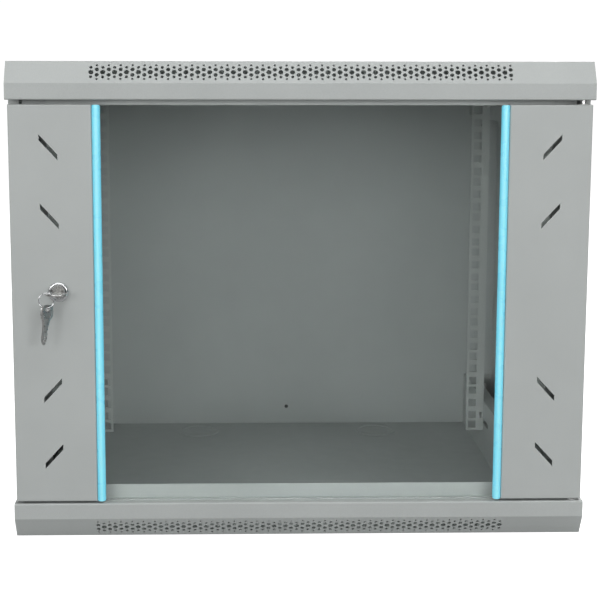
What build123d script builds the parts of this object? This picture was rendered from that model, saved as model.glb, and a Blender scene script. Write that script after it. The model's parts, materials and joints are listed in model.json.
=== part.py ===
from build123d import *
import math
import os

# A wall-mounted 19-inch network cabinet, nine rack units high, with a glass door.
# X is the width, Y the depth with the door at -Y, Z is up. Millimetres.
# The origin is the centre of the underside.

os.makedirs("parts", exist_ok=True)

# Outer size
WIDTH = 600.0
DEPTH = 450.0
HEIGHT = 500.0
FRONT = -DEPTH / 2
REAR = DEPTH / 2
HALF = WIDTH / 2
SHEET = 1.2
GAP = 0.1

# Top and bottom covers: a tray with a sloped, perforated nose
COVER_HIGH = 38.9
LIP_FOOT = 22.1
NOSE_SETBACK = 12.0
LEDGE_BACK = FRONT + 21.7
STOP_HALF = 262.0
BOTTOM_STOP_HIGH = 14.7
TOP_STOP_HIGH = 6.0
HOLE_PITCH = 6.0
HOLE_COLUMNS = 72
# Each row of nose perforation: distance from the row in the middle, hole diameter, column parity
HOLE_ROWS = ((0.0, 5.2, 1), (3.1, 4.2, 0), (5.4, 3.2, 1), (7.8, 2.4, 0))
KNOCKOUT_R = 24.8
KNOCKOUT_X = 120.0
KNOCKOUT_Y = 185.0
FAN_X = 100.0
FAN_Y = 10.0
FAN_BOLTS = 105.0
FAN_BOLT_R = 2.25
FAN_RINGS = (16.0, 26.0, 36.0, 46.0)
FAN_SLOT = 5.0
FAN_SPOKE = 7.0

# Frame
POST_IN = 262.0
POST_OUT = 286.2
POST_FRONT = -200.5
POST_DEEP = 35.0
REAR_FACE = REAR - SHEET - GAP
BEAM_IN = 247.0
BEAM_OUT = 261.5
BEAM_HIGH = 69.8
BEAM_TAB = 280.0
BOLT_X = 273.0
BOLT_Z = (20.0, 54.0)
BOLT_R = 3.0
BOLT_HOLE_R = 3.2
RAIL_SLOT_Z = 45.0
FRONT_SLOT_Y = -120.0
REAR_SLOT_Y = 85.0
RAIL_SLOT_LONG = 90.0
WALL_HOLE_X = 268.0
WALL_HOLE_Z = (85.0, 415.0)
WALL_HOLE_R = 4.5
CABLE_HOLE_Z = 25.0
CABLE_HOLE_R = 2.5

# Rails to the 19-inch standard: 465.1 between hole centres, 15.875 + 15.875 + 12.7 spacing
RACK_UNIT = 44.45
HOLE_SPAN = 465.1
HOLE_STEP = 12.7
RAIL_IN = 225.0
RAIL_THICK = 1.6
RAIL_LOW = 32.6
RAIL_HIGH = HEIGHT - RAIL_LOW
FIRST_UNIT_Z = 46.8
RAIL_DEEP = 32.0
SQUARE = 9.5
FRONT_RAIL_Y = -160.0
REAR_RAIL_Y = 72.0
RAIL_SCREW_BACK = 18.0
RAIL_EYE_IN = 3.6
RAIL_EYE_Z = 52.7

# Side panels
SIDE_FRONT = -203.0
SIDE_REAR = 208.6
SIDE_FOLD = 11.2
LATCH_Z = 432.0
LATCH_R = 9.0
CAM_REACH = 22.0
STRIKE_X = 289.2
STRIKE_Z = 455.5
STRIKE_HALF = 12.0

# Door
DOOR_LOW = 41.1
DOOR_HIGH = 456.5
DOOR_FACE = -224.0
DOOR_BACK = -209.0
PLATE_IN = 212.8
PLATE_OUT = 297.5
GLASS_FRONT = -221.6
GLASS_THICK = 4.0
GLASS_HALF = 212.2
SEAT_IN = 205.2
SEAT_Y = -217.0
TRIM_IN = 204.0
TRIM_OUT = 212.7
TRIM_RISE = 3.6
TRIM_CORNER = 2.0
SLOT_X = 257.0
SLOT_RISES = (-158.7, -88.2, 93.8, 164.3)
SLOT_HALF_WIDE = 9.4
SLOT_RISE = 20.4
SLOT_END = 5.9

# Door hinge, on the right
PIVOT_X = 289.0
PIVOT_Y = -216.0
PIN_R = 3.0
PIN_HOLE_R = 3.06
BUSH_R = 5.0
BRACKET_LOW = 418.0
BRACKET_HIGH = 444.0

# Lock, on the left
LOCK_X = -249.0
LOCK_Z = 264.9
BEZEL_R = 10.3
BARREL_R = 8.2
PLUG_R = 6.2
BEZEL_FRONT = -229.5
DISH_R = 8.4
DISH_DEEP = 1.8
CAM_FRONT = -198.3
CAM_THICK = 2.0
CAM_LONG = 34.0
KEY_THICK = 1.8
BOW_HALF_WIDE = 10.8
BOW_HALF_DEEP = 8.2
BOW_Y = -242.0
KEY_HOLE_R = 2.6
RING_R = 7.7
WIRE_R = 0.55

MID_Z = (DOOR_LOW + DOOR_HIGH) / 2
TURN_OVER = Pos(0, 0, HEIGHT) * Rot(0, 180, 0)


def save(part, name):
    part.label = name
    export_step(part, f"parts/{name}.step")


def block(low, high, mode=Mode.ADD):
    """Adds a box between two corners to the part that is being built."""
    middle = tuple((a + b) / 2 for a, b in zip(low, high))
    size = tuple(abs(b - a) for a, b in zip(low, high))
    with Locations(middle):
        Box(*size, mode=mode)


def side_span(side, near, far):
    """The X limits of something on one side: side is -1 for left and 1 for right."""
    return sorted((side * near, side * far))


def side_block(side, near, far, low_yz, high_yz, mode=Mode.ADD):
    x_low, x_high = side_span(side, near, far)
    block((x_low, *low_yz), (x_high, *high_yz), mode)


# Covers

def nose_profile():
    """The cover's side outline, with Y across and Z up."""
    slope_foot = FRONT + NOSE_SETBACK
    corners = ((slope_foot, 0), (REAR, 0), (REAR, COVER_HIGH), (FRONT, COVER_HIGH), (FRONT, LIP_FOOT))
    Polygon(*corners, align=None)


def make_cover(stop_high, fans):
    """A cover in the bottom one's place. The top one is the same pressing, turned over."""
    inside = HALF - SHEET
    with BuildPart() as cover:
        with BuildSketch(Plane.YZ) as outline:
            nose_profile()
            fillet(outline.vertices().sort_by(Axis.X)[:3], radius=1.6)
        extrude(amount=HALF, both=True)
        with BuildSketch(Plane.YZ) as hollow:
            nose_profile()
            offset(amount=-SHEET, kind=Kind.INTERSECTION)
        extrude(amount=inside, both=True, mode=Mode.SUBTRACT)
        block((-inside, LEDGE_BACK, SHEET), (inside, REAR + 1, COVER_HIGH + 1), Mode.SUBTRACT)
        block((-STOP_HALF, LEDGE_BACK - SHEET, COVER_HIGH - SHEET),
              (STOP_HALF, LEDGE_BACK, COVER_HIGH + stop_high))
        cut_perforation()
        with BuildSketch(Plane.XY.offset(COVER_HIGH)):
            with Locations((PIVOT_X, PIVOT_Y), (-PIVOT_X, PIVOT_Y)):
                Circle(BOLT_HOLE_R)
        extrude(amount=-2 * SHEET, mode=Mode.SUBTRACT)
        with BuildSketch(Plane.XY):
            with Locations((KNOCKOUT_X, KNOCKOUT_Y), (-KNOCKOUT_X, KNOCKOUT_Y)):
                Circle(KNOCKOUT_R)
        extrude(amount=2 * SHEET, mode=Mode.SUBTRACT)
        if fans:
            with BuildSketch(Plane.XY):
                for x in (-FAN_X, FAN_X):
                    fan_grille(x)
            extrude(amount=2 * SHEET, mode=Mode.SUBTRACT)
    return cover.part


def cut_perforation():
    """Rows of round holes on the nose's slope, largest in the middle row."""
    middle = (0, FRONT + NOSE_SETBACK / 2, LIP_FOOT / 2)
    outward = (0, -LIP_FOOT, -NOSE_SETBACK)
    first = -(HOLE_COLUMNS - 1) * HOLE_PITCH / 2
    with BuildSketch(Plane(origin=middle, x_dir=(1, 0, 0), z_dir=outward)) as holes:
        for distance, diameter, parity in HOLE_ROWS:
            columns = range(parity, HOLE_COLUMNS, 2)
            rises = (0,) if distance == 0 else (-distance, distance)
            places = [(first + i * HOLE_PITCH, rise) for i in columns for rise in rises]
            with Locations(*places):
                Circle(diameter / 2)
    extrude(holes.sketch, amount=-2 * SHEET, mode=Mode.SUBTRACT)


def fan_grille(x):
    """Rings of slots over a 120 mm fan, with its four screw holes."""
    with Locations((x, FAN_Y)):
        for ring in reversed(FAN_RINGS):
            Circle(ring + FAN_SLOT / 2)
            Circle(ring - FAN_SLOT / 2, mode=Mode.SUBTRACT)
        for turn in (45, 135):
            Rectangle(2 * FAN_RINGS[-1] + 2 * FAN_SLOT, FAN_SPOKE, rotation=turn, mode=Mode.SUBTRACT)
        with GridLocations(FAN_BOLTS, FAN_BOLTS, 2, 2):
            Circle(FAN_BOLT_R)


bottom_cover = make_cover(BOTTOM_STOP_HIGH, fans=False)
top_cover = TURN_OVER * make_cover(TOP_STOP_HIGH, fans=True)
save(bottom_cover, "bottom_cover")
save(top_cover, "top_cover")


# Knock-out discs that close the round cable openings

def make_knockouts():
    with BuildPart() as discs:
        for x in (-KNOCKOUT_X, KNOCKOUT_X):
            with BuildSketch(Plane.XY):
                with Locations((x, KNOCKOUT_Y)):
                    Circle(KNOCKOUT_R - 0.3)
            extrude(amount=SHEET)
            with BuildSketch(Plane.XY.offset(SHEET)):
                with Locations((x, KNOCKOUT_Y)):
                    Circle(KNOCKOUT_R + 2.5)
                    Circle(KNOCKOUT_R - 2.5, mode=Mode.SUBTRACT)
            extrude(amount=1.0)
    return discs.part


save(make_knockouts(), "bottom_knockouts")
save(TURN_OVER * make_knockouts(), "top_knockouts")


# Rear panel, the full height of the cabinet, folded forward at both sides

with BuildPart() as rear_panel:
    block((-HALF + SHEET + GAP, REAR - SHEET, SHEET + GAP), (HALF - SHEET - GAP, REAR, HEIGHT - SHEET - GAP))
    low, high = COVER_HIGH + GAP, HEIGHT - COVER_HIGH - GAP
    for side in (-1, 1):
        side_block(side, HALF - SHEET - GAP, HALF, (REAR - SHEET, low), (REAR, high))
        side_block(side, HALF - SHEET, HALF, (SIDE_REAR + 0.4, low), (REAR, high))
    with BuildSketch(Plane.XZ.offset(-REAR)):
        with Locations(*[(x, z) for x in (-WALL_HOLE_X, WALL_HOLE_X) for z in WALL_HOLE_Z]):
            Circle(WALL_HOLE_R)
        with Locations((0, CABLE_HOLE_Z)):
            Circle(CABLE_HOLE_R)
    extrude(amount=2 * SHEET, mode=Mode.SUBTRACT)
save(rear_panel.part, "rear_panel")

with BuildPart() as hole_plug:
    with Locations((0, REAR - SHEET / 2, CABLE_HOLE_Z)):
        Cylinder(CABLE_HOLE_R - 0.05, SHEET, rotation=(90, 0, 0))
save(hole_plug.part, "hole_plug")


# Corner posts: L-sections that stand between the covers

def bolt_places():
    return [(x, z) for x in (-BOLT_X, BOLT_X) for z in (*BOLT_Z, *[HEIGHT - z for z in BOLT_Z])]


def make_post(side, at_front):
    face = POST_FRONT if at_front else REAR_FACE
    inward = 1 if at_front else -1
    y_face = sorted((face, face + inward * SHEET))
    y_deep = sorted((face, face + inward * POST_DEEP))
    with BuildPart() as post:
        side_block(side, POST_IN, POST_OUT, (y_face[0], SHEET), (y_face[1], HEIGHT - SHEET))
        side_block(side, POST_OUT - SHEET, POST_OUT, (y_deep[0], SHEET), (y_deep[1], HEIGHT - SHEET))
        with BuildSketch(Plane.XZ.offset(-face)):
            with Locations(*bolt_places()):
                Circle(BOLT_HOLE_R)
            if not at_front:
                with Locations(*[(side * WALL_HOLE_X, z) for z in WALL_HOLE_Z]):
                    Circle(WALL_HOLE_R)
        extrude(amount=2 * SHEET, both=True, mode=Mode.SUBTRACT)
    return post.part


# Side beams: C-sections from front to rear that carry the rails

def make_beam(side):
    """A lower beam. The upper one is the same part turned over."""
    low, high = SHEET, SHEET + BEAM_HIGH
    with BuildPart() as beam:
        side_block(side, BEAM_IN, BEAM_IN + SHEET, (POST_FRONT, low), (REAR_FACE, high))
        for z in (low, high - SHEET):
            side_block(side, BEAM_IN, BEAM_OUT, (POST_FRONT, z), (REAR_FACE, z + SHEET))
        for y in (POST_FRONT + SHEET, REAR_FACE - 2 * SHEET):
            side_block(side, BEAM_IN, BEAM_TAB, (y, low), (y + SHEET, high))
        for face in (POST_FRONT, REAR_FACE):
            with BuildSketch(Plane.XZ.offset(-face)):
                with Locations(*bolt_places()):
                    Circle(BOLT_HOLE_R)
            extrude(amount=4 * SHEET, both=True, mode=Mode.SUBTRACT)
        with BuildSketch(Plane.YZ.offset(side * BEAM_IN)):
            with Locations((FRONT_SLOT_Y, RAIL_SLOT_Z), (REAR_SLOT_Y, RAIL_SLOT_Z)):
                SlotOverall(RAIL_SLOT_LONG, 2 * BOLT_HOLE_R)
        extrude(amount=2 * SHEET, both=True, mode=Mode.SUBTRACT)
    return beam.part


# Rails: L-sections with square holes at the standard rack spacing

def rail_hole_heights():
    """Three holes for each of the nine units, and one more beyond each end."""
    per_unit = (6.35, 22.225, 38.1)
    heights = [FIRST_UNIT_Z + unit * RACK_UNIT + rise for unit in range(9) for rise in per_unit]
    return [heights[0] - HOLE_STEP, *heights, heights[-1] + HOLE_STEP]


def make_rail(side, face):
    with BuildPart() as rail:
        side_block(side, RAIL_IN, BEAM_IN, (face, RAIL_LOW), (face + RAIL_THICK, RAIL_HIGH))
        side_block(side, BEAM_IN - RAIL_THICK, BEAM_IN, (face, RAIL_LOW), (face + RAIL_DEEP, RAIL_HIGH))
        with BuildSketch(Plane.XZ.offset(-face)):
            with Locations(*[(side * HOLE_SPAN / 2, z) for z in rail_hole_heights()]):
                Rectangle(SQUARE, SQUARE)
            with Locations(*[(side * (BEAM_IN - RAIL_EYE_IN), z) for z in (RAIL_EYE_Z, HEIGHT - RAIL_EYE_Z)]):
                SlotOverall(8, 3.2, rotation=90)
        extrude(amount=-2 * RAIL_THICK, mode=Mode.SUBTRACT)
        with BuildSketch(Plane.YZ.offset(side * BEAM_IN)):
            with Locations(*[(face + RAIL_SCREW_BACK, z) for z in (RAIL_SLOT_Z, HEIGHT - RAIL_SLOT_Z)]):
                Circle(BOLT_HOLE_R)
        extrude(amount=2 * RAIL_THICK, both=True, mode=Mode.SUBTRACT)
    return rail.part


for side, word in ((-1, "left"), (1, "right")):
    save(make_post(side, True), f"front_post_{word}")
    save(make_post(side, False), f"rear_post_{word}")
    save(make_beam(side), f"lower_beam_{word}")
    save(TURN_OVER * make_beam(-side), f"upper_beam_{word}")
    save(make_rail(side, FRONT_RAIL_Y), f"front_rail_{word}")
    save(make_rail(side, REAR_RAIL_Y), f"rear_rail_{word}")


# Fasteners: frame bolts with their nuts, and rail screws with theirs

def screw(plane, shank_long, head_r=5.0, head_high=3.5):
    """A cap screw whose head's underside lies on the plane and whose shank runs against its normal."""
    with BuildSketch(plane) as head:
        Circle(head_r)
        RegularPolygon(radius=BOLT_R - 0.4, side_count=6, mode=Mode.SUBTRACT)
    extrude(head.sketch, amount=head_high)
    with BuildSketch(plane) as shank:
        Circle(BOLT_R)
    extrude(shank.sketch, amount=1.0)
    extrude(shank.sketch, amount=-shank_long)


def nut(plane, high=4.6):
    """A hexagon nut that stands on the plane, threaded onto an M6 shank."""
    with BuildSketch(plane) as hexagon:
        RegularPolygon(radius=5.0, side_count=6, major_radius=False)
        Circle(BOLT_R + 0.03, mode=Mode.SUBTRACT)
    extrude(hexagon.sketch, amount=high)


def frame_planes():
    """Each frame bolt: the plane under its head, and the plane its nut stands on (None at the rear)."""
    grip = 2 * SHEET
    for x, z in bolt_places():
        yield (Plane(origin=(x, POST_FRONT, z), x_dir=(1, 0, 0), z_dir=(0, -1, 0)),
               Plane(origin=(x, POST_FRONT + grip, z), x_dir=(1, 0, 0), z_dir=(0, 1, 0)))
        yield Plane(origin=(x, REAR_FACE - grip, z), x_dir=(1, 0, 0), z_dir=(0, -1, 0)), None


with BuildPart() as frame_bolts:
    for head_plane, nut_plane in frame_planes():
        screw(head_plane, 9.0 if nut_plane else 2 * SHEET)
save(frame_bolts.part, "frame_bolts")

with BuildPart() as frame_nuts:
    for head_plane, nut_plane in frame_planes():
        if nut_plane:
            nut(nut_plane)
save(frame_nuts.part, "frame_nuts")


def rail_screw_places():
    for side in (-1, 1):
        for face in (FRONT_RAIL_Y, REAR_RAIL_Y):
            for z in (RAIL_SLOT_Z, HEIGHT - RAIL_SLOT_Z):
                yield side, face + RAIL_SCREW_BACK, z


with BuildPart() as rail_screws:
    for side, y, z in rail_screw_places():
        screw(Plane(origin=(side * (BEAM_IN - RAIL_THICK), y, z), x_dir=(0, 1, 0), z_dir=(-side, 0, 0)), 10.0)
save(rail_screws.part, "rail_screws")

with BuildPart() as rail_nuts:
    for side, y, z in rail_screw_places():
        nut(Plane(origin=(side * (BEAM_IN + SHEET), y, z), x_dir=(0, 1, 0), z_dir=(side, 0, 0)))
save(rail_nuts.part, "rail_nuts")


# Side panels, each with a quarter-turn latch near its top edge

def make_side_panel(side):
    low, high = COVER_HIGH + 0.2, HEIGHT - COVER_HIGH - 0.2
    fold_in = HALF - SIDE_FOLD
    with BuildPart() as panel:
        side_block(side, HALF - SHEET, HALF, (SIDE_FRONT, low), (SIDE_REAR, high))
        side_block(side, fold_in, HALF, (SIDE_FRONT, low), (SIDE_FRONT + SHEET, high))
        side_block(side, fold_in, HALF, (SIDE_REAR - SHEET, low), (SIDE_REAR, high))
        for z in (low, high - SHEET):
            side_block(side, fold_in, HALF, (SIDE_FRONT, z), (SIDE_REAR, z + SHEET))
        with BuildSketch(Plane.YZ.offset(side * HALF)):
            with Locations((0, LATCH_Z)):
                Circle(LATCH_R + 0.3)
        extrude(amount=2 * SHEET, both=True, mode=Mode.SUBTRACT)
    return panel.part


def make_latch(side):
    """A slotted latch button with its housing flange, shaft and cam in one piece."""
    with BuildPart() as latch:
        with BuildSketch(Plane.YZ.offset(side * (HALF + 0.1))):
            with Locations((0, LATCH_Z)):
                Circle(LATCH_R + 3)
        extrude(amount=side * 1.8)
        with BuildSketch(Plane.YZ.offset(side * (HALF + 1.9))):
            with Locations((0, LATCH_Z)):
                Rectangle(13, 2.2)
        extrude(amount=-side * 1.2, mode=Mode.SUBTRACT)
        with BuildSketch(Plane.YZ.offset(side * (HALF + 0.1))):
            with Locations((0, LATCH_Z)):
                Circle(LATCH_R - 0.2)
        extrude(amount=-side * 12)
        with BuildSketch(Plane.YZ.offset(side * (HALF - 11.9))):
            with Locations(((CAM_REACH - 6) / 2, LATCH_Z)):
                SlotOverall(CAM_REACH + 6, 12)
        extrude(amount=-side * 2.5)
    return latch.part


def make_strike(side):
    """A bracket on the upper beam that the latch's cam turns behind."""
    low, high = (-STRIKE_HALF, STRIKE_Z), (STRIKE_HALF, STRIKE_Z + SHEET)
    with BuildPart() as strike:
        side_block(side, BEAM_IN + SHEET, STRIKE_X + SHEET, low, high)
        side_block(side, BEAM_IN + SHEET, BEAM_IN + 2 * SHEET, (low[0], STRIKE_Z - 15), high)
        side_block(side, STRIKE_X, STRIKE_X + SHEET, (low[0], STRIKE_Z - 11), high)
    return strike.part


for side, word in ((-1, "left"), (1, "right")):
    save(make_side_panel(side), f"side_panel_{word}")
    save(make_latch(side), f"side_latch_{word}")
    save(make_strike(side), f"latch_strike_{word}")


# Door: two steel side plates, a pane of glass between them and a trim strip over each joint

def door_slots(side):
    """Slanted slots with upright ends, leaning towards the middle of the door's height."""
    for rise in SLOT_RISES:
        tilt = side * (1 if rise > 0 else -1) * SLOT_RISE / 2
        x, z = side * SLOT_X, MID_Z + rise
        end = SLOT_END / 2
        corners = ((x - SLOT_HALF_WIDE, z - tilt - end), (x + SLOT_HALF_WIDE, z + tilt - end),
                   (x + SLOT_HALF_WIDE, z + tilt + end), (x - SLOT_HALF_WIDE, z - tilt + end))
        Polygon(*corners, align=None)


def make_door_plate(side):
    with BuildPart() as plate:
        side_block(side, PLATE_IN, PLATE_OUT, (DOOR_FACE, DOOR_LOW), (DOOR_BACK, DOOR_HIGH))
        fillet(plate.faces().sort_by(Axis.Y)[0].edges(), radius=1.5)
        side_block(side, PLATE_IN + SHEET, PLATE_OUT - SHEET, (DOOR_FACE + SHEET, DOOR_LOW + SHEET),
                   (DOOR_BACK + 1, DOOR_HIGH - SHEET), Mode.SUBTRACT)
        side_block(side, PLATE_IN - 1, PLATE_IN + SHEET, (SEAT_Y + SHEET, DOOR_LOW - 1),
                   (DOOR_BACK + 1, DOOR_HIGH + 1), Mode.SUBTRACT)
        side_block(side, SEAT_IN, PLATE_IN + SHEET, (SEAT_Y, DOOR_LOW), (SEAT_Y + SHEET, DOOR_HIGH))
        with BuildSketch(Plane.XZ.offset(-DOOR_FACE)):
            door_slots(side)
            if side < 0:
                with Locations((LOCK_X, LOCK_Z)):
                    Circle(BARREL_R + 0.1)
        extrude(amount=-2 * SHEET, mode=Mode.SUBTRACT)
        if side > 0:
            with BuildSketch(Plane.XY.offset(DOOR_LOW)):
                with Locations((PIVOT_X, PIVOT_Y)):
                    Circle(BUSH_R + 0.05)
            extrude(amount=2 * SHEET, both=True, mode=Mode.SUBTRACT)
            with BuildSketch(Plane.XY.offset(DOOR_HIGH)):
                with Locations((PIVOT_X, PIVOT_Y)):
                    Circle(BUSH_R + 0.05)
            extrude(amount=2 * SHEET, both=True, mode=Mode.SUBTRACT)
    return plate.part


def make_trim(side):
    """A half-round strip whose ends have rounded corners."""
    middle, half = side * (TRIM_IN + TRIM_OUT) / 2, (TRIM_OUT - TRIM_IN) / 2
    back = GLASS_FRONT - GAP
    low, high = DOOR_LOW + 0.4, DOOR_HIGH - 0.4
    with BuildPart() as trim:
        with BuildSketch(Plane.XY.offset(low)):
            with Locations((middle, back)):
                Ellipse(half, TRIM_RISE)
            with Locations((middle, back + TRIM_RISE)):
                Rectangle(3 * half, 2 * TRIM_RISE, mode=Mode.SUBTRACT)
        extrude(amount=high - low)
        with BuildSketch(Plane.XZ.offset(-back)):
            with Locations((middle, (low + high) / 2)):
                RectangleRounded(2 * half, high - low, radius=TRIM_CORNER)
        extrude(amount=2 * TRIM_RISE, mode=Mode.INTERSECT)
    return trim.part


def make_glass():
    with BuildPart() as glass:
        block((-GLASS_HALF, GLASS_FRONT, DOOR_LOW + 0.4),
              (GLASS_HALF, GLASS_FRONT + GLASS_THICK, DOOR_HIGH - 0.4))
        chamfer(glass.faces().sort_by(Axis.Y)[0].edges(), length=0.5)
    return glass.part


for side, word in ((-1, "left"), (1, "right")):
    save(make_door_plate(side), f"door_plate_{word}")
    save(make_trim(side), f"door_trim_{word}")
    with BuildPart() as tape:
        side_block(side, SEAT_IN + 0.8, GLASS_HALF - 0.4, (GLASS_FRONT + GLASS_THICK, DOOR_LOW + 2),
                   (SEAT_Y, DOOR_HIGH - 2))
    save(tape.part, f"glazing_tape_{word}")
save(make_glass(), "door_glass")

with BuildPart() as door_buffers:
    for z in (DOOR_LOW + 40, DOOR_HIGH - 40):
        with BuildSketch(Plane.XZ.offset(-POST_FRONT)):
            with Locations((-(POST_IN + 10), z)):
                Circle(5)
        extrude(amount=6)
save(door_buffers.part, "door_buffers")


# Hinge: a fixed lower pin in a bush, and a spring-loaded upper pin in a bracket

with BuildPart() as lower_hinge_pin:
    with Locations((PIVOT_X, PIVOT_Y, COVER_HIGH)):
        Cylinder(6, 1.4, align=(Align.CENTER, Align.CENTER, Align.MIN))
        Cylinder(PIN_R, 15, align=(Align.CENTER, Align.CENTER, Align.MIN))
        Cylinder(PIN_R + 0.1, 3.0, align=(Align.CENTER, Align.CENTER, Align.MAX))
    chamfer(lower_hinge_pin.faces().sort_by(Axis.Z)[-1].edges(), length=0.8)
save(lower_hinge_pin.part, "lower_hinge_pin")


def make_bush(sign, face):
    """A flanged bush that sits in a hole in the door's folded edge. sign points into the door."""
    start = face - sign * 0.4
    with BuildPart() as bush:
        with BuildSketch(Plane.XY.offset(start)):
            with Locations((PIVOT_X, PIVOT_Y)):
                Circle(BUSH_R)
        extrude(amount=sign * 9)
        with BuildSketch(Plane.XY.offset(face + sign * SHEET)):
            with Locations((PIVOT_X, PIVOT_Y)):
                Circle(BUSH_R + 1.6)
        extrude(amount=sign * 1.4)
        with BuildSketch(Plane.XY.offset(start - sign)):
            with Locations((PIVOT_X, PIVOT_Y)):
                Circle(PIN_HOLE_R)
        extrude(amount=sign * 12, mode=Mode.SUBTRACT)
    return bush.part


save(make_bush(1, DOOR_LOW), "lower_hinge_bush")
save(make_bush(-1, DOOR_HIGH), "upper_hinge_bush")

with BuildPart() as upper_pin_bracket:
    back = DOOR_BACK - 0.2
    block((PIVOT_X - 14, back - SHEET, BRACKET_LOW), (PIVOT_X + 6, back, BRACKET_HIGH))
    for z in (BRACKET_LOW, BRACKET_HIGH - SHEET):
        block((PIVOT_X - 6, DOOR_FACE + SHEET, z), (PIVOT_X + 6, back, z + SHEET))
    with BuildSketch(Plane.XY.offset(BRACKET_LOW)):
        with Locations((PIVOT_X, PIVOT_Y)):
            Circle(PIN_HOLE_R)
    extrude(amount=BRACKET_HIGH - BRACKET_LOW, mode=Mode.SUBTRACT)
    block((PIVOT_X - 14, DOOR_FACE + SHEET, BRACKET_LOW), (PIVOT_X - 12.8, back, BRACKET_HIGH))
save(upper_pin_bracket.part, "upper_pin_bracket")

PIN_TOP = HEIGHT - COVER_HIGH + SHEET + 1.5
COLLAR_Z = BRACKET_HIGH - SHEET - 2.6
with BuildPart() as upper_hinge_pin:
    with Locations((PIVOT_X, PIVOT_Y, BRACKET_LOW - 12)):
        Cylinder(PIN_R, PIN_TOP - BRACKET_LOW + 12, align=(Align.CENTER, Align.CENTER, Align.MIN))
    chamfer(upper_hinge_pin.faces().sort_by(Axis.Z)[-1].edges(), length=0.8)
    with Locations((PIVOT_X, PIVOT_Y, COLLAR_Z)):
        Cylinder(5, 2.4, align=(Align.CENTER, Align.CENTER, Align.MIN))
    with Locations((PIVOT_X, PIVOT_Y, BRACKET_LOW - 9)):
        Cylinder(PIN_R - 0.5, 24, rotation=(0, -90, 0), align=(Align.CENTER, Align.CENTER, Align.MIN))
save(upper_hinge_pin.part, "upper_hinge_pin")

with BuildPart() as pin_spring:
    with BuildSketch(Plane.XY.offset(BRACKET_LOW + SHEET + 0.1)):
        with Locations((PIVOT_X, PIVOT_Y)):
            Circle(4.8)
            Circle(3.6, mode=Mode.SUBTRACT)
    extrude(amount=COLLAR_Z - BRACKET_LOW - SHEET - 0.2)
save(pin_spring.part, "pin_spring")


# Lock: housing clamped by a nut, a turning plug with its cam, and the key that stays in it

def lock_ring(y_front, y_back, outer, inner):
    """A round tube about the lock's axis, from one depth to another."""
    with BuildSketch(Plane.XZ.offset(-y_front)) as tube:
        with Locations((LOCK_X, LOCK_Z)):
            Circle(outer)
            if inner:
                Circle(inner, mode=Mode.SUBTRACT)
    extrude(tube.sketch, amount=-(y_back - y_front))


with BuildPart() as lock_housing:
    lock_ring(BEZEL_FRONT, DOOR_FACE, BEZEL_R, PLUG_R + 0.06)
    rim = lock_housing.edges().filter_by(GeomType.CIRCLE).group_by(Axis.Y)[0].sort_by(SortBy.RADIUS)
    fillet(rim[-1], radius=1.6)
    with Locations(Location((LOCK_X, BEZEL_FRONT + DISH_DEEP / 2, LOCK_Z), (90, 0, 0))):
        Cone(PLUG_R + 0.6, DISH_R, DISH_DEEP, mode=Mode.SUBTRACT)
    lock_ring(DOOR_FACE, CAM_FRONT - 2.5, BARREL_R, PLUG_R + 0.06)
save(lock_housing.part, "lock_housing")

with BuildPart() as lock_nut:
    with BuildSketch(Plane.XZ.offset(-(DOOR_FACE + SHEET))):
        with Locations((LOCK_X, LOCK_Z)):
            RegularPolygon(radius=11.0, side_count=6, major_radius=False)
            Circle(BARREL_R + 0.05, mode=Mode.SUBTRACT)
    extrude(amount=-4.0)
save(lock_nut.part, "lock_nut")

with BuildPart() as lock_plug:
    lock_ring(BEZEL_FRONT + DISH_DEEP, CAM_FRONT - GAP, PLUG_R, 0)
    lock_ring(CAM_FRONT - GAP, CAM_FRONT + CAM_THICK + 0.4, 3.4, 0)
    block((LOCK_X - 4.2, BEZEL_FRONT, LOCK_Z - KEY_THICK / 2 - 0.1),
          (LOCK_X + 4.2, BEZEL_FRONT + 22, LOCK_Z + KEY_THICK / 2 + 0.1), Mode.SUBTRACT)
save(lock_plug.part, "lock_plug")

with BuildPart() as lock_cam:
    with BuildSketch(Plane.XZ.offset(-CAM_FRONT)):
        with Locations((LOCK_X, LOCK_Z - CAM_LONG / 2 + 7)):
            SlotOverall(CAM_LONG, 14, rotation=90)
        with Locations((LOCK_X, LOCK_Z)):
            Circle(3.45, mode=Mode.SUBTRACT)
    extrude(amount=-CAM_THICK)
save(lock_cam.part, "lock_cam")

with BuildPart() as cam_screw:
    lock_ring(CAM_FRONT + CAM_THICK + 0.4, CAM_FRONT + CAM_THICK + 3.0, 5.5, 0)
    lock_ring(CAM_FRONT + CAM_THICK + 2.0, CAM_FRONT + CAM_THICK + 3.0, 2.0, 0)
save(cam_screw.part, "cam_screw")

# The ring hangs over the rim of the key's oval bow, through a hole near the rim, and nearly faces the front
RIM_TURN = math.radians(82)
RIM_OUT = BOW_HALF_WIDE - 0.1
HOLE_OUT = RIM_OUT - 4.6
RING_OUT = RIM_OUT - 0.6
KEY_HOLE = (LOCK_X - HOLE_OUT * math.sin(RIM_TURN), BOW_Y - HOLE_OUT * math.cos(RIM_TURN))
RING_AT = (LOCK_X - RING_OUT * math.sin(RIM_TURN), BOW_Y - RING_OUT * math.cos(RIM_TURN))
RING_Z = LOCK_Z + KEY_THICK / 2 + WIRE_R - RING_R + 0.35
NECK_HALF = 3.8
BLADE_END = BEZEL_FRONT + 20

with BuildPart() as door_key:
    with BuildSketch(Plane.XY.offset(LOCK_Z - KEY_THICK / 2)):
        with Locations((LOCK_X, BOW_Y)):
            Ellipse(BOW_HALF_WIDE, BOW_HALF_DEEP)
        with Locations((LOCK_X, (BOW_Y + BLADE_END) / 2)):
            Rectangle(2 * NECK_HALF, BLADE_END - BOW_Y)
        with Locations(KEY_HOLE):
            Circle(KEY_HOLE_R, mode=Mode.SUBTRACT)
    extrude(amount=KEY_THICK)
save(door_key.part, "door_key")

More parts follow.
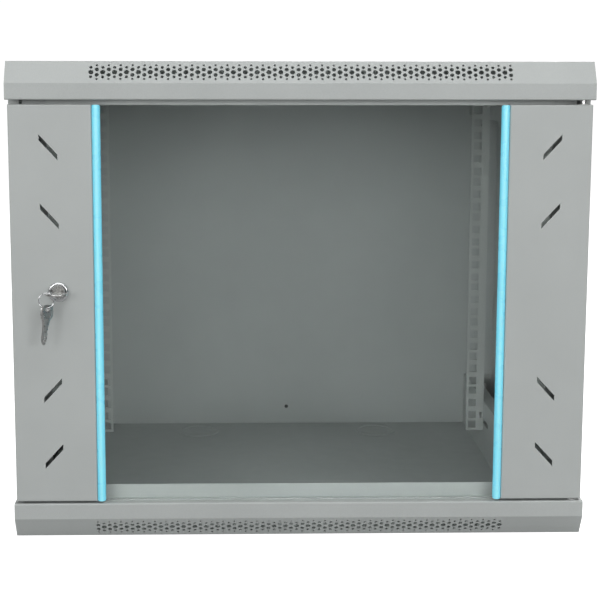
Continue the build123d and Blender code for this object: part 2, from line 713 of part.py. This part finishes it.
RING_PLANE = Plane(origin=(*RING_AT, RING_Z), x_dir=(0, 0, 1),
                   z_dir=(math.cos(RIM_TURN), -math.sin(RIM_TURN), 0))
with BuildPart(RING_PLANE) as key_ring:
    Torus(RING_R, WIRE_R)
save(key_ring.part, "key_ring")

# The spare key hangs from the ring by a hole in its head, and is turned well away from the front
SPARE_TWIST = math.radians(52)
SPARE_TILT = math.radians(5)
SPARE_HOLE_R = 2.4
SPARE_Z = RING_Z - RING_R + WIRE_R + 0.5 - SPARE_HOLE_R
SPARE_AXIS_X = 0.5
SPARE_PLANE = Plane(origin=(*RING_AT, SPARE_Z),
                    x_dir=(math.cos(SPARE_TWIST), math.sin(SPARE_TWIST), -math.tan(SPARE_TILT)),
                    z_dir=(math.sin(SPARE_TWIST), -math.cos(SPARE_TWIST), 0))
SPARE_BLADE = ((-6.0, -8), (6.0, -8), (2.6, -16), (1.4, -30), (-0.9, -36.5), (-3.3, -36.5), (-5.6, -33),
               (-4.8, -16))
with BuildPart() as spare_key:
    with BuildSketch(SPARE_PLANE):
        with Locations((SPARE_AXIS_X, -3.2)):
            RectangleRounded(16.0, 15.5, radius=5.5)
        Polygon(*[(SPARE_AXIS_X + x, y) for x, y in SPARE_BLADE], align=None)
        Circle(SPARE_HOLE_R, mode=Mode.SUBTRACT)
    extrude(amount=KEY_THICK / 2, both=True)
save(spare_key.part, "spare_key")
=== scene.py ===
"""Looks for the network rack cabinet: materials, detailed small pieces, light and camera."""
import json
import math

import bmesh
import bpy
from mathutils import Matrix, Vector


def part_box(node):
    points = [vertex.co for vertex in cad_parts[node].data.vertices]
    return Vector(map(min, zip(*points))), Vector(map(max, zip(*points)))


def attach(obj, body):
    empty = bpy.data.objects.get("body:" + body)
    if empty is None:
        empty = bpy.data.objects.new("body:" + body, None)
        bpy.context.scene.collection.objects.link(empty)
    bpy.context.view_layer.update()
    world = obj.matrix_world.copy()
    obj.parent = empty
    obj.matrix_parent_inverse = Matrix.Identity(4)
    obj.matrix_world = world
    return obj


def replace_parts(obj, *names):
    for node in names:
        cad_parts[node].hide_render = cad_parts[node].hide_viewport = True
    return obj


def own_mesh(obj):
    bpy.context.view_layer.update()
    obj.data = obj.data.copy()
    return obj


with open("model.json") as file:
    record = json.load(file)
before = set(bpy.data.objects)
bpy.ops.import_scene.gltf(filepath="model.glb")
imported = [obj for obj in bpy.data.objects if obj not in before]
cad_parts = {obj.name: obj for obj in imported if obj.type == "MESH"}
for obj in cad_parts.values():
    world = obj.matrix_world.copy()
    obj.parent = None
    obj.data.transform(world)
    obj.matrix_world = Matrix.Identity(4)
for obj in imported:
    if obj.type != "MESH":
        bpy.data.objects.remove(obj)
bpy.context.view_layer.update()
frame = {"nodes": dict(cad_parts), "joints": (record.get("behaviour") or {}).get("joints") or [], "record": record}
NODES = frame["nodes"]
MM = 0.001

# Camera, in metres and radians
CAMERA_AT = (-0.0590, -1.5728, 0.4990)
CAMERA_PITCH = 0.1355
CAMERA_YAW = 0.0224
CAMERA_ROLL = 0.0015
FOCAL_PX = 1325.9
IMAGE_PX = 600.0
SENSOR_MM = 36.0
SHIFT = (0.045, -0.095)

# Studio, in metres and watts. Each light: name, place, size, power
LIGHT_TARGET = (0, -0.1, 0.25)
LIGHTS = (
    ("front_box", (-0.5, -8.0, 1.15), (12.0, 1.9), 180),
    ("softbox_left", (-1.75, -3.2, 1.0), (0.9, 1.1), 20),
    ("softbox_right", (1.75, -3.2, 1.0), (0.9, 1.1), 21),
    ("overhead", (0, -1.3, 2.8), (3.4, 2.0), 50),
    ("rear_fill", (0.8, 3.2, 2.2), (2.4, 2.0), 75),
    ("side_fill_left", (-4.5, 0.7, 1.8), (2.4, 1.8), 45),
    ("side_fill_right", (4.5, 0.7, 1.8), (2.4, 1.8), 45),
)
SKY_SEEN = 1.05
SKY_CAST = 0.24
FLOOR_HALF = 90.0
FLOOR_LEVEL = -0.0006
FLOOR_SEEN = 1.02
FLOOR_GLOW = 0.02

# Keys, in millimetres and degrees
KEY_THICK = 1.8
GROOVE_DEEP = 0.3
SPARE_EDGE = 0.25
SPARE_HOLE_R = 2.4
SPARE_TWIST = 52
SPARE_TILT = 5
SPARE_HOLE_DROP = 1.35
HEAD_CORNER = (5.5, 5.5)
BOW_HALF_DEEP = 8.2
BOW_HOLE_R = 2.6
BOW_HOLE_OUT = 6.1
BOW_HOLE_TURN = 82
BOW_EDGE = 0.3
NECK_HALF = 3.75
TIP_CUT = 2

# Mesh clean-up, in millimetres and degrees
WELD_GAP = 0.001
PLATE_WELD_GAP = 0.002
PLATE_SHARP = 32
BEVEL_ABOVE = 40

# Colours, linear
PAINT = (0.415, 0.437, 0.430)
RAIL_GREY = (0.46, 0.48, 0.47)
FLOOR_NEAR = (0.38, 0.38, 0.38)
FLOOR_FAR = (0.06, 0.06, 0.06)


# Camera, light and floor

def make_camera():
    data = bpy.data.cameras.new("camera")
    data.sensor_width = SENSOR_MM
    data.lens = FOCAL_PX * SENSOR_MM / IMAGE_PX
    data.shift_x, data.shift_y = SHIFT
    data.clip_start, data.clip_end = 0.05, 300.0
    camera = bpy.data.objects.new("camera", data)
    camera.location = CAMERA_AT
    camera.rotation_mode = "XYZ"
    turn = Matrix.Rotation(-CAMERA_YAW, 4, "Z") @ Matrix.Rotation(math.pi / 2 - CAMERA_PITCH, 4, "X")
    camera.rotation_euler = (turn @ Matrix.Rotation(CAMERA_ROLL, 4, "Z")).to_euler("XYZ")
    bpy.context.scene.collection.objects.link(camera)
    bpy.context.scene.camera = camera


def area_light(name, place, target, size, power):
    data = bpy.data.lights.new(name, "AREA")
    data.shape = "RECTANGLE"
    data.size, data.size_y = size
    data.energy = power
    light = bpy.data.objects.new(name, data)
    light.location = place
    light.rotation_mode = "QUATERNION"
    light.rotation_quaternion = (Vector(target) - Vector(place)).to_track_quat("-Z", "Y")
    bpy.context.scene.collection.objects.link(light)


def make_lights():
    """Soft boxes. Those in front stand where the door's glass can't mirror them to the main camera."""
    for name, place, size, power in LIGHTS:
        area_light(name, place, LIGHT_TARGET, size, power)


def make_world():
    """White to the camera; a softer light, stronger from above, on the object."""
    world = bpy.data.worlds.new("studio")
    bpy.context.scene.world = world
    world.use_nodes = True
    nodes, links = world.node_tree.nodes, world.node_tree.links
    nodes.clear()
    out = nodes.new("ShaderNodeOutputWorld")
    seen, cast = nodes.new("ShaderNodeBackground"), nodes.new("ShaderNodeBackground")
    seen.inputs["Color"].default_value = (1, 1, 1, 1)
    seen.inputs["Strength"].default_value = SKY_SEEN
    cast.inputs["Strength"].default_value = SKY_CAST
    place = nodes.new("ShaderNodeTexCoord")
    split = nodes.new("ShaderNodeSeparateXYZ")
    links.new(place.outputs["Generated"], split.inputs[0])
    height = ramp(nodes, links, split.outputs["Z"], (0.45, 0.45, 0.45), (1, 1, 1), 0.0, 0.7)
    links.new(height, cast.inputs["Color"])
    path, mix = nodes.new("ShaderNodeLightPath"), nodes.new("ShaderNodeMixShader")
    links.new(path.outputs["Is Camera Ray"], mix.inputs[0])
    links.new(cast.outputs[0], mix.inputs[1])
    links.new(seen.outputs[0], mix.inputs[2])
    links.new(mix.outputs[0], out.inputs["Surface"])


def make_floor():
    """A large floor, white to the camera. Far off it is dim to the glass that mirrors it."""
    half, level = FLOOR_HALF, FLOOR_LEVEL
    corners = [(-half, -half, level), (half, -half, level), (half, half, level), (-half, half, level)]
    mesh = bpy.data.meshes.new("floor")
    mesh.from_pydata(corners, [], [(0, 1, 2, 3)])
    floor = bpy.data.objects.new("floor", mesh)
    bpy.context.scene.collection.objects.link(floor)
    material, nodes, links, shader = new_material("floor_white")
    place, far = nodes.new("ShaderNodeTexCoord"), nodes.new("ShaderNodeVectorMath")
    far.operation = "LENGTH"
    links.new(place.outputs["Object"], far.inputs[0])
    tens_of_metres = maths(nodes, links, "MULTIPLY", far.outputs["Value"], 0.1)
    tone = ramp(nodes, links, tens_of_metres, FLOOR_NEAR, FLOOR_FAR, 0.1, 0.4)
    links.new(tone, shader.inputs["Base Color"])
    shader.inputs["Roughness"].default_value = 0.9
    shader.inputs["Specular IOR Level"].default_value = 0.0
    shader.inputs["Emission Color"].default_value = (1, 1, 1, 1)
    path, scale = nodes.new("ShaderNodeLightPath"), nodes.new("ShaderNodeMath")
    scale.operation = "MULTIPLY_ADD"
    scale.inputs[1].default_value = FLOOR_SEEN
    scale.inputs[2].default_value = FLOOR_GLOW
    links.new(path.outputs["Is Camera Ray"], scale.inputs[0])
    links.new(scale.outputs[0], shader.inputs["Emission Strength"])
    mesh.materials.append(material)


# Node helpers

def new_material(name):
    material = bpy.data.materials.new(name)
    material.use_nodes = True
    nodes, links = material.node_tree.nodes, material.node_tree.links
    return material, nodes, links, nodes["Principled BSDF"]


def noise(nodes, links, scale, detail=2.0, rough=0.5, stretch=None):
    """Noise in the object's own coordinates. scale is in cycles a metre."""
    place = nodes.new("ShaderNodeTexCoord")
    texture = nodes.new("ShaderNodeTexNoise")
    texture.inputs["Scale"].default_value = scale
    texture.inputs["Detail"].default_value = detail
    texture.inputs["Roughness"].default_value = rough
    source = place.outputs["Object"]
    if stretch:
        mapping = nodes.new("ShaderNodeMapping")
        mapping.inputs["Scale"].default_value = stretch
        links.new(source, mapping.inputs["Vector"])
        source = mapping.outputs[0]
    links.new(source, texture.inputs["Vector"])
    return texture.outputs["Fac"]


def ramp(nodes, links, source, low, high, start=0.3, end=0.7):
    """Maps a source running from start to end onto a range of values or of colours."""
    if isinstance(low, (int, float)):
        node = nodes.new("ShaderNodeMapRange")
        node.inputs["From Min"].default_value, node.inputs["From Max"].default_value = start, end
        node.inputs["To Min"].default_value, node.inputs["To Max"].default_value = low, high
        links.new(source, node.inputs["Value"])
        return node.outputs[0]
    node = nodes.new("ShaderNodeValToRGB")
    for element, place, colour in zip(node.color_ramp.elements, (start, end), (low, high)):
        element.position, element.color = place, (*colour, 1)
    links.new(source, node.inputs[0])
    return node.outputs[0]


def maths(nodes, links, operation, first, second=0.0):
    node = nodes.new("ShaderNodeMath")
    node.operation = operation
    node.inputs[1].default_value = second
    links.new(first, node.inputs[0])
    return node.outputs[0]


def blend_colours(nodes, links, kind, share, first, second):
    node = nodes.new("ShaderNodeMix")
    node.data_type, node.blend_type = "RGBA", kind
    node.inputs[0].default_value = share
    links.new(first, node.inputs[6])
    links.new(second, node.inputs[7])
    return node.outputs[2]


def bumps(nodes, links, shader, layers):
    """Stacks bump layers: each is a height source, its strength and its depth in metres."""
    below = None
    for source, strength, depth in layers:
        node = nodes.new("ShaderNodeBump")
        node.inputs["Strength"].default_value = strength
        node.inputs["Distance"].default_value = depth
        links.new(source, node.inputs["Height"])
        if below:
            links.new(below, node.inputs["Normal"])
        below = node.outputs[0]
    links.new(below, shader.inputs["Normal"])


def shade(colour, factor):
    return tuple(c * factor for c in colour)


# Materials

def powder_coat(name, colour, sheen=0.42):
    """Fine-textured powder coat: pebbled surface, mottled gloss and faint cloudiness."""
    material, nodes, links, shader = new_material(name)
    cloud = ramp(nodes, links, noise(nodes, links, 9, 4, 0.6), shade(colour, 0.965), shade(colour, 1.035))
    speck = ramp(nodes, links, noise(nodes, links, 1500, 1), (0.94, 0.94, 0.94), (1.0, 1.0, 1.0), 0.35, 0.6)
    links.new(blend_colours(nodes, links, "MULTIPLY", 1.0, cloud, speck), shader.inputs["Base Color"])
    gloss = ramp(nodes, links, noise(nodes, links, 60, 3), sheen - 0.05, sheen + 0.06)
    links.new(gloss, shader.inputs["Roughness"])
    shader.inputs["Specular IOR Level"].default_value = 0.4
    bumps(nodes, links, shader, [(noise(nodes, links, 260, 2), 0.25, 0.00012),
                                 (noise(nodes, links, 1100, 2), 0.30, 0.00006)])
    return material


def door_glass_look():
    """Faintly grey-green tempered glass with a light film of smudges and no dark shadow."""
    material, nodes, links, shader = new_material("door_glass_look")
    shader.inputs["Base Color"].default_value = (0.865, 0.888, 0.880, 1)
    shader.inputs["Transmission Weight"].default_value = 1.0
    shader.inputs["IOR"].default_value = 1.25
    smudge = ramp(nodes, links, noise(nodes, links, 14, 5, 0.65), 0.0, 0.035, 0.52, 0.8)
    links.new(smudge, shader.inputs["Roughness"])
    clear, path = nodes.new("ShaderNodeBsdfTransparent"), nodes.new("ShaderNodeLightPath")
    clear.inputs["Color"].default_value = (0.93, 0.95, 0.945, 1)
    mix = nodes.new("ShaderNodeMixShader")
    links.new(path.outputs["Is Shadow Ray"], mix.inputs[0])
    links.new(shader.outputs[0], mix.inputs[1])
    links.new(clear.outputs[0], mix.inputs[2])
    links.new(mix.outputs[0], nodes["Material Output"].inputs["Surface"])
    return material


def trim_look():
    """Satin cyan extruded plastic: fine lines along its length, a little light through it, a painted highlight
    stripe down its middle and a faint painted glow.
    """
    material, nodes, links, shader = new_material("trim_look")
    tone = noise(nodes, links, 500, 3, 0.6, stretch=(1, 1, 0.02))
    body = ramp(nodes, links, tone, (0.19, 0.72, 0.94), (0.27, 0.80, 1.0))
    # Painted highlight: a paler cyan stripe down the trim's middle, standing in for the light a rounded crown
    # would catch.
    painted_highlight = ramp(nodes, links, tone, (0.31, 0.82, 0.97), (0.38, 0.87, 1.0))
    low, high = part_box("door_trim_right")
    place, split = nodes.new("ShaderNodeTexCoord"), nodes.new("ShaderNodeSeparateXYZ")
    links.new(place.outputs["Object"], split.inputs[0])
    side = maths(nodes, links, "ABSOLUTE", split.outputs["X"])
    off = maths(nodes, links, "ABSOLUTE", maths(nodes, links, "SUBTRACT", side, (low.x + high.x) / 2))
    blend = blend_colours(nodes, links, "MIX", 0.5, body, painted_highlight)
    links.new(ramp(nodes, links, off, 1.0, 0.0, 0.5 * MM, 2.6 * MM), blend.node.inputs[0])
    links.new(blend, shader.inputs["Base Color"])
    links.new(ramp(nodes, links, noise(nodes, links, 90, 3), 0.24, 0.36), shader.inputs["Roughness"])
    # Painted glow: a faint cyan emission that makes the trim look brighter, though it is no lamp.
    shader.inputs["Emission Color"].default_value = (0.25, 0.80, 1.0, 1)
    shader.inputs["Emission Strength"].default_value = 0.06
    shader.inputs["Subsurface Weight"].default_value = 0.35
    shader.inputs["Subsurface Radius"].default_value = (0.3, 1.0, 1.0)
    shader.inputs["Subsurface Scale"].default_value = 0.0015
    bumps(nodes, links, shader, [(noise(nodes, links, 1200, 2, 0.5, stretch=(1, 1, 0.03)), 0.25, 0.00004)])
    return material


def plated_metal(name, colour, low, high, grain, depth, stretch=None):
    """Bright plated or bare metal with brushed or rolled grain and uneven polish."""
    material, nodes, links, shader = new_material(name)
    patch = ramp(nodes, links, noise(nodes, links, 120, 3), shade(colour, 0.93), shade(colour, 1.0))
    links.new(patch, shader.inputs["Base Color"])
    shader.inputs["Metallic"].default_value = 1.0
    links.new(ramp(nodes, links, noise(nodes, links, 300, 4, 0.6), low, high), shader.inputs["Roughness"])
    bumps(nodes, links, shader, [(noise(nodes, links, grain, 3, 0.6, stretch), 0.2, depth)])
    return material


def zinc_look():
    """Zinc plate with pale crystal patches."""
    material, nodes, links, shader = new_material("zinc_look")
    place, cells = nodes.new("ShaderNodeTexCoord"), nodes.new("ShaderNodeTexVoronoi")
    cells.inputs["Scale"].default_value = 700
    links.new(place.outputs["Object"], cells.inputs["Vector"])
    tone = ramp(nodes, links, cells.outputs["Distance"], (0.62, 0.63, 0.64), (0.74, 0.74, 0.73), 0.1, 0.7)
    links.new(tone, shader.inputs["Base Color"])
    shader.inputs["Metallic"].default_value = 1.0
    links.new(ramp(nodes, links, noise(nodes, links, 500, 3), 0.24, 0.42), shader.inputs["Roughness"])
    bumps(nodes, links, shader, [(noise(nodes, links, 2200, 2), 0.25, 0.00003)])
    return material


def moulded(name, colour, low, high, grain, depth):
    """Moulded nylon or rubber: fine spark-eroded grain and uneven gloss."""
    material, nodes, links, shader = new_material(name)
    tone = ramp(nodes, links, noise(nodes, links, 150, 3), shade(colour, 0.85), shade(colour, 1.15))
    links.new(tone, shader.inputs["Base Color"])
    links.new(ramp(nodes, links, noise(nodes, links, 400, 3), low, high), shader.inputs["Roughness"])
    bumps(nodes, links, shader, [(noise(nodes, links, grain, 3), 0.35, depth)])
    return material


def make_looks():
    return {
        "cabinet_paint": powder_coat("cabinet_paint_look", PAINT),
        "rail_steel": powder_coat("rail_look", RAIL_GREY, 0.36),
        "door_glass": door_glass_look(),
        "trim_plastic": trim_look(),
        "chrome": plated_metal("chrome_look", (0.72, 0.73, 0.74), 0.10, 0.22, 1800, 0.00002, (1, 1, 0.15)),
        "zinc": zinc_look(),
        "nylon": moulded("nylon_look", (0.60, 0.59, 0.56), 0.35, 0.5, 1500, 0.00003),
        "rubber": moulded("rubber_look", (0.035, 0.036, 0.038), 0.6, 0.8, 1800, 0.00005),
        "spring_steel": plated_metal("spring_look", (0.42, 0.43, 0.45), 0.25, 0.4, 2500, 0.00002),
    }


def key_metal(name, colour):
    """Nickel-plated brass, worn satin by use."""
    return plated_metal(name, colour, 0.22, 0.36, 2200, 0.00003, (0.2, 0.2, 1))


def dress_nodes(looks):
    """Each CAD node takes the look of the material slot that its mesh was packed with."""
    slot_of = {row["node"]: row["material_slot"] for row in frame["record"]["subparts"]}
    for name, node in NODES.items():
        node.data.materials.clear()
        node.data.materials.append(looks[slot_of[name]])
    # Painted shade: the recessed lock plug takes a darker copy of the key metal, so that its face reads as shaded.
    NODES["lock_plug"].data.materials[0] = key_metal("lock_plug_shaded_look", (0.34, 0.34, 0.33))


# Detailed small pieces

def joint_row(name):
    return next(joint for joint in frame["joints"] if joint["name"] == name)


def add_piece(name, mesh, body, look):
    piece = bpy.data.objects.new(name, mesh)
    bpy.context.scene.collection.objects.link(piece)
    mesh.materials.clear()
    mesh.materials.append(look)
    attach(piece, body)
    return piece


def tube_along(points, radius, sides):
    """A closed tube mesh along a line of points that runs round the Z axis."""
    shape = bmesh.new()
    rings = []
    for i, point in enumerate(points):
        ahead = points[min(i + 1, len(points) - 1)] - points[max(i - 1, 0)]
        ahead.normalize()
        outward = Vector((ahead.y, -ahead.x, 0)).normalized()
        up = ahead.cross(outward)
        turns = [2 * math.pi * k / sides for k in range(sides)]
        rings.append([shape.verts.new(point + radius * (math.cos(a) * outward + math.sin(a) * up))
                      for a in turns])
    for near, far in zip(rings, rings[1:]):
        for k in range(sides):
            shape.faces.new((near[k], near[(k + 1) % sides], far[(k + 1) % sides], far[k]))
    shape.faces.new(list(reversed(rings[0])))
    shape.faces.new(rings[-1])
    bmesh.ops.recalc_face_normals(shape, faces=shape.faces)
    for face in shape.faces:
        face.smooth = len(face.verts) == 4
    mesh = bpy.data.meshes.new("tube")
    shape.to_mesh(mesh)
    shape.free()
    return mesh


def make_spring(looks):
    """The hinge pin's coil spring, with closed end turns."""
    low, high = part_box("pin_spring")
    wire = 0.45 * MM
    centre = Vector(((low.x + high.x) / 2, (low.y + high.y) / 2, 0))
    radius = (high.x - low.x) / 2 - wire
    bottom, top = low.z + wire, high.z - wire
    active, steps = 6.0, 28
    total = int((active + 2) * steps)
    points = []
    for i in range(total + 1):
        turn = i / steps
        climb = min(max(turn - 1, 0), active) / active
        end_lift = 2 * wire * (min(turn, 1) + max(turn - 1 - active, 0))
        height = bottom + end_lift + climb * (top - bottom - 4 * wire)
        angle = 2 * math.pi * turn
        points.append(centre + Vector((radius * math.cos(angle), radius * math.sin(angle), height)))
    mesh = tube_along(points, wire, 10)
    spring = add_piece("coil_spring", mesh, "door", looks["spring_steel"])
    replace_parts(spring, "pin_spring")
    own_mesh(spring)


def arc(centre, radii, start, end, steps):
    """Points on an ellipse between two angles in degrees."""
    turns = [math.radians(start + (end - start) * k / steps) for k in range(steps + 1)]
    return [(centre[0] + radii[0] * math.cos(a), centre[1] + radii[1] * math.sin(a)) for a in turns]


def round_hole(centre, radius):
    """A circle of 24 points."""
    return arc(centre, (radius, radius), 0, 345, 23)


def flat_plate(outline, holes, thickness, edge):
    """A flat plate in millimetres, centred on Z = 0, with rounded edges and holes through it."""
    curve = bpy.data.curves.new("plate", "CURVE")
    curve.dimensions, curve.fill_mode = "2D", "BOTH"
    curve.extrude, curve.bevel_depth, curve.offset = thickness / 2 - edge, edge, -edge
    curve.bevel_resolution = 2
    for loop in (outline, *holes):
        spline = curve.splines.new("POLY")
        spline.points.add(len(loop) - 1)
        for point, (x, y) in zip(spline.points, loop):
            point.co = (x, y, 0, 1)
        spline.use_cyclic_u = True
    holder = bpy.data.objects.new("plate", curve)
    bpy.context.scene.collection.objects.link(holder)
    bpy.context.view_layer.update()
    mesh = bpy.data.meshes.new_from_object(holder.evaluated_get(bpy.context.evaluated_depsgraph_get()))
    bpy.data.objects.remove(holder)
    bpy.data.curves.remove(curve)
    return mesh


def cut_grooves(mesh, grooves, half_thick, depth):
    """Cuts shallow round-ended grooves into both faces. Each is its centre, length, width and turn."""
    target = bpy.data.objects.new("target", mesh)
    bpy.context.scene.collection.objects.link(target)
    cutters = []
    for centre, long, wide, turn in grooves:
        for face in (-1, 1):
            half = long / 2 - wide / 2
            loop = (arc((0, half), (wide / 2, wide / 2), 0, 180, 8)
                    + arc((0, -half), (wide / 2, wide / 2), 180, 360, 8))
            cutter = bpy.data.objects.new("cutter", flat_plate(loop, (), 4 * depth, 0.4 * depth))
            cutter.matrix_world = (Matrix.Translation((*centre, face * (half_thick + depth)))
                                   @ Matrix.Rotation(math.radians(turn), 4, "Z"))
            bpy.context.scene.collection.objects.link(cutter)
            cut = target.modifiers.new("cut", "BOOLEAN")
            cut.operation, cut.solver, cut.object = "DIFFERENCE", "EXACT", cutter
            cutters.append(cutter)
    bpy.context.view_layer.update()
    result = bpy.data.meshes.new_from_object(target.evaluated_get(bpy.context.evaluated_depsgraph_get()))
    for extra in (*cutters, target):
        bpy.data.objects.remove(extra)
    return result


def finish_plate(mesh, place):
    """Moves a plate from its own millimetre frame to its place, with smooth shading off its sharp edges."""
    mesh.transform(place @ Matrix.Scale(MM, 4))
    tidy = bmesh.new()
    tidy.from_mesh(mesh)
    bmesh.ops.remove_doubles(tidy, verts=tidy.verts, dist=PLATE_WELD_GAP * MM)
    bmesh.ops.recalc_face_normals(tidy, faces=tidy.faces)
    tidy.to_mesh(mesh)
    tidy.free()
    mesh.polygons.foreach_set("use_smooth", [True] * len(mesh.polygons))
    mesh.set_sharp_from_angle(angle=math.radians(PLATE_SHARP))
    return mesh


def axes(x_axis, z_axis, origin):
    """The matrix of a frame with its Z along z_axis and its X as near x_axis as it can be."""
    z_axis = Vector(z_axis).normalized()
    y_axis = z_axis.cross(Vector(x_axis)).normalized()
    x_axis = y_axis.cross(z_axis)
    turn = Matrix((x_axis, y_axis, z_axis)).transposed()
    return Matrix.Translation(origin) @ turn.to_4x4()


def make_spare_key(look):
    """The hanging key: head with a corner hole and a stamped panel, cut blade with two milled grooves."""
    twist, tilt = math.radians(SPARE_TWIST), math.radians(SPARE_TILT)
    outline = (arc((3.0, -0.95), HEAD_CORNER, 90, 0, 8)
               + arc((3.0, -5.45), HEAD_CORNER, 0, -50, 6)
               + [(4.5, -12.5), (3.1, -16.0), (3.0, -17.0), (1.9, -18.5), (1.9, -19.5), (2.6, -21.0),
                  (0.9, -22.8), (0.9, -23.6), (2.3, -25.4), (1.3, -27.0), (1.2, -28.0), (1.9, -29.6),
                  (0.7, -31.5), (0.2, -33.5), (-0.6, -36.3), (-2.7, -36.3), (-5.0, -32.9), (-4.25, -16.0),
                  (-4.75, -12.5)]
               + arc((-2.0, -5.45), HEAD_CORNER, -130, -180, 6)
               + arc((-2.0, -0.95), HEAD_CORNER, 180, 90, 8))
    mesh = flat_plate(outline, (round_hole((0, 0), SPARE_HOLE_R),), KEY_THICK, SPARE_EDGE)
    grooves = (((-3.1, -24.5), 19.0, 1.3, 0), ((-0.7, -25.0), 17.0, 0.9, 0), ((0.6, -6.8), 9.0, 4.6, 90))
    mesh = cut_grooves(mesh, grooves, KEY_THICK / 2, GROOVE_DEEP)
    hole_at = Vector(joint_row("spare_key_swing")["pos_m"]) - Vector((0, 0, SPARE_HOLE_DROP * MM))
    x_axis = (math.cos(twist), math.sin(twist), -math.tan(tilt))
    mesh = finish_plate(mesh, axes(x_axis, (math.sin(twist), -math.cos(twist), 0), hole_at))
    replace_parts(add_piece("hanging_key_cut", mesh, "hanging_key", look), "spare_key")


def make_door_key(look):
    """The key in the lock: oval bow with a ring hole near its rim, a stamped panel and a grooved blade."""
    low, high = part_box("door_key")
    half_wide, neck = (high.x - low.x) / 2 / MM, NECK_HALF
    centre = Vector(((low.x + high.x) / 2, low.y + BOW_HALF_DEEP * MM, (low.z + high.z) / 2))
    thick, blade = (high.z - low.z) / MM, (high.y - centre.y) / MM
    meet = math.degrees(math.acos(neck / half_wide))
    outline = arc((0, 0), (half_wide, BOW_HALF_DEEP), meet, meet - 360 + 2 * (90 - meet), 60)
    outline.reverse()
    outline += [(neck, blade - TIP_CUT), (neck - TIP_CUT, blade),
                (-neck + TIP_CUT, blade), (-neck, blade - TIP_CUT)]
    turn = math.radians(BOW_HOLE_TURN)
    hole = (-BOW_HOLE_OUT * math.sin(turn), -BOW_HOLE_OUT * math.cos(turn))
    mesh = flat_plate(outline, (round_hole(hole, BOW_HOLE_R),), thick, BOW_EDGE)
    grooves = (((2.6, -0.4), 7.6, 5.0, 90), ((0, 22.0), 18.0, 1.6, 0))
    mesh = cut_grooves(mesh, grooves, thick / 2, GROOVE_DEEP)
    mesh = finish_plate(mesh, Matrix.Translation(centre))
    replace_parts(add_piece("lock_key_cut", mesh, "lock", look), "door_key")


def soften(names, width):
    """Rounds the nodes' sharp edges a little, so that they catch the light."""
    for name in names:
        node = NODES[name]
        weld = node.modifiers.new("weld", "WELD")
        weld.merge_threshold = WELD_GAP * MM
        bevel = node.modifiers.new("bevel", "BEVEL")
        bevel.width, bevel.segments = width, 2
        bevel.limit_method, bevel.angle_limit = "ANGLE", math.radians(BEVEL_ABOVE)
        bevel.harden_normals = True


make_camera()
make_world()
make_lights()
make_floor()
LOOKS = make_looks()
dress_nodes(LOOKS)
make_spring(LOOKS)
KEY_LOOK = key_metal("key_look", (0.50, 0.50, 0.49))
make_spare_key(KEY_LOOK)
make_door_key(KEY_LOOK)
soften(("side_panel_left", "side_panel_right", "rear_panel"), 0.4 * MM)
soften(("side_latch_left", "side_latch_right", "lock_nut", "lock_plug", "lock_cam"), 0.25 * MM)

bpy.context.scene.view_settings.view_transform = "Standard"
